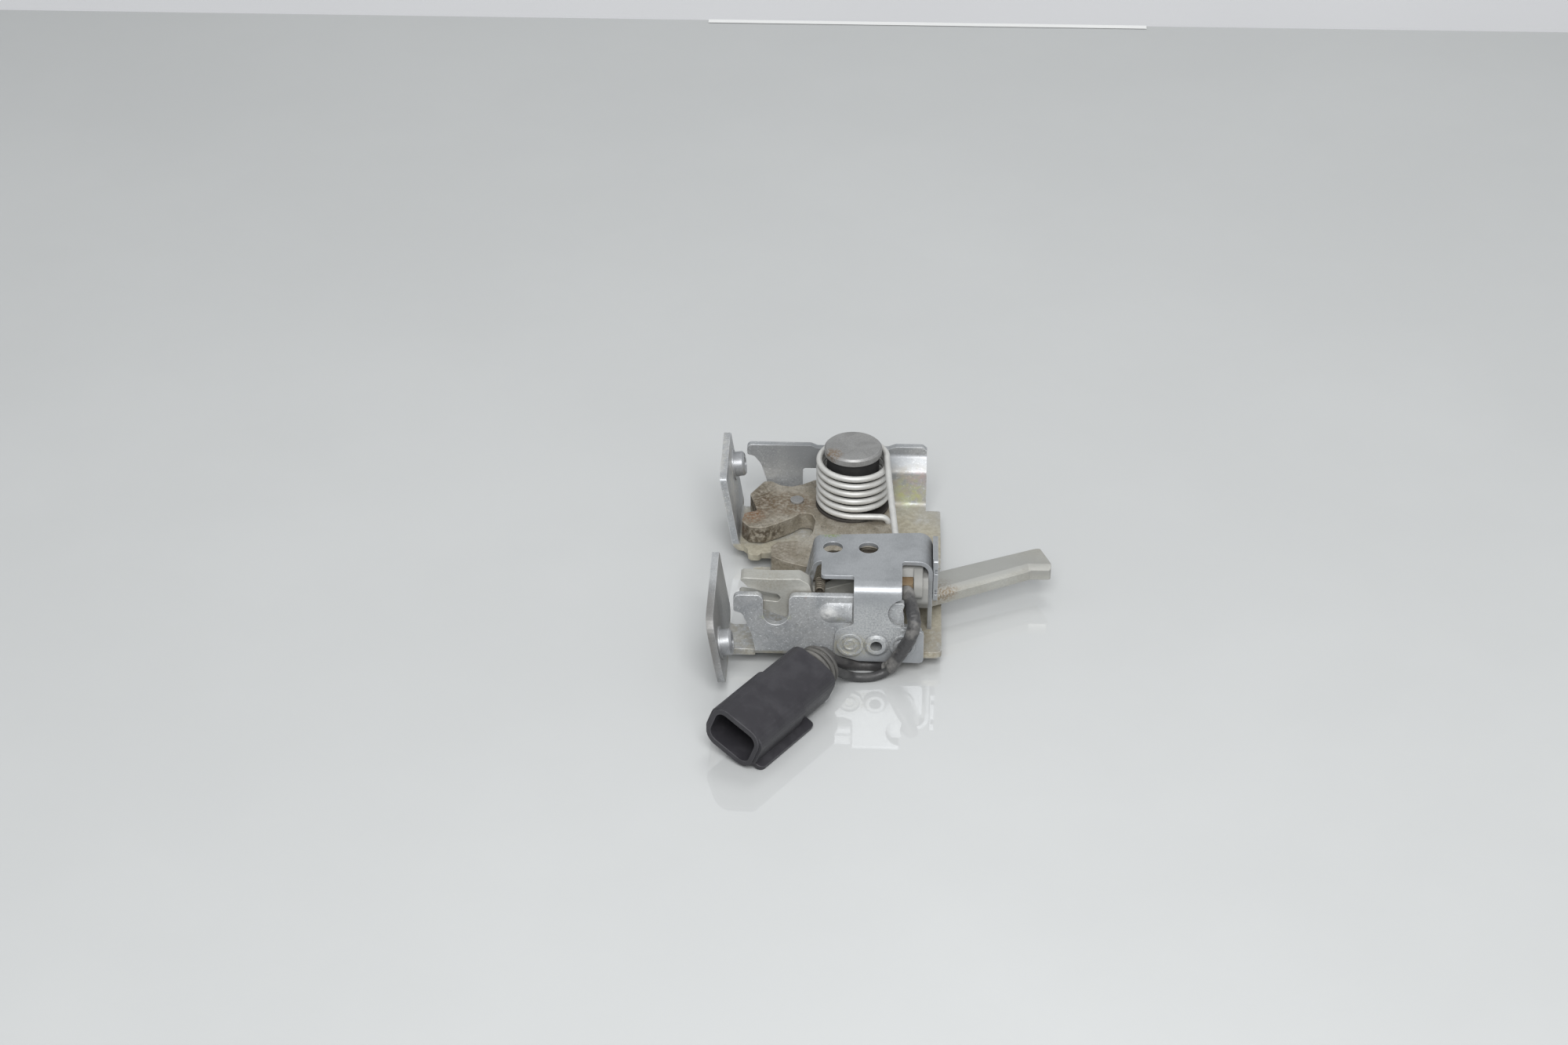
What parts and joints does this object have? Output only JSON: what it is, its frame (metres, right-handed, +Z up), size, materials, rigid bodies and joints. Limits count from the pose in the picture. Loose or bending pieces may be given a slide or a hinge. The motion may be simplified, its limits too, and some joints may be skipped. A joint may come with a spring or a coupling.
{
  "type": "hood lock",
  "caption": "Hood lock with a pivoting claw held open by a torsion spring, a release lever, folded mounting flanges, a cover, a built-in switch and its cable and plug.",
  "frame": {"origin": "centre of the lock's footprint at the surface that its feet stand on, measured without the cable and plug", "axes": "+Z up from the base plate's back to its claw side, along the pivot pin; -X is the side that the striker enters from and that the mounting flanges face; -Y is the side of the front wall, with the cable notch"},
  "size_m": [0.1282, 0.1775, 0.0418],
  "materials": {
    "olive_zinc": "satin",
    "zinc": "satin",
    "pin_steel": "satin",
    "dark_steel": "matte",
    "black_plastic": "matte",
    "spring_wire": "polished",
    "worn_steel": "matte",
    "lever_metal": "satin",
    "switch_plastic": "matte",
    "brown_resin": "satin",
    "black_rubber": "matte",
    "grey_rubber": "matte",
    "plug_plastic": "satin",
    "contact": "polished"
  },
  "bodies": {
    "housing": {"base_plate": "olive_zinc", "back_clinch_nut": "zinc", "front_clinch_nut": "zinc", "pivot_pin": "pin_steel", "pivot_collar": "pin_steel", "pivot_washer": "dark_steel", "spring_spool": "black_plastic", "torsion_spring": "spring_wire", "cover": "zinc", "clinch_button_left": "zinc", "clinch_button_right": "zinc", "hollow_rivet": "zinc", "lever_pin": "pin_steel", "lever_spring": "spring_wire", "hook_spring": "spring_wire", "spring_post": "pin_steel", "switch_body": "switch_plastic", "switch_potting": "brown_resin", "edge_strip": "zinc", "cable_sleeve": "black_rubber", "wire_black": "black_rubber", "wire_grey": "grey_rubber", "connector_boot": "black_rubber", "connector_housing": "plug_plastic", "connector_insert": "plug_plastic", "contact_pin_left": "contact", "contact_pin_right": "contact"},
    "claw": {"claw": "worn_steel", "claw_rivet": "worn_steel"},
    "lever": {"release_lever": "lever_metal", "cable_hook": "lever_metal", "pawl": "worn_steel"},
    "plunger": {"switch_plunger": "black_plastic"}
  },
  "joints": [
    {"name": "claw_pivot", "type": "hinge", "parent": "housing", "child": "claw", "pos_m": [-0.01244, 0.04655, 0.0117], "axis": [0, 0, 1], "range_deg": [0, 24], "stiffness_Nm_per_rad": 0.35, "springref_deg": -20.05, "deforming": ["torsion_spring"]},
    {"name": "lever_pivot", "type": "hinge", "parent": "housing", "child": "lever", "pos_m": [-0.00554, -0.02055, 0.02], "axis": [0, 0, 1], "range_deg": [-6, 0], "stiffness_Nm_per_rad": 0.25, "springref_deg": 17.19, "deforming": ["lever_spring", "hook_spring"]},
    {"name": "plunger_slide", "type": "slide", "parent": "housing", "child": "plunger", "axis": [1, 0, 0], "range_m": [0, 0.0015], "stiffness_N_per_m": 400, "springref_m": -0.001}
  ]
}
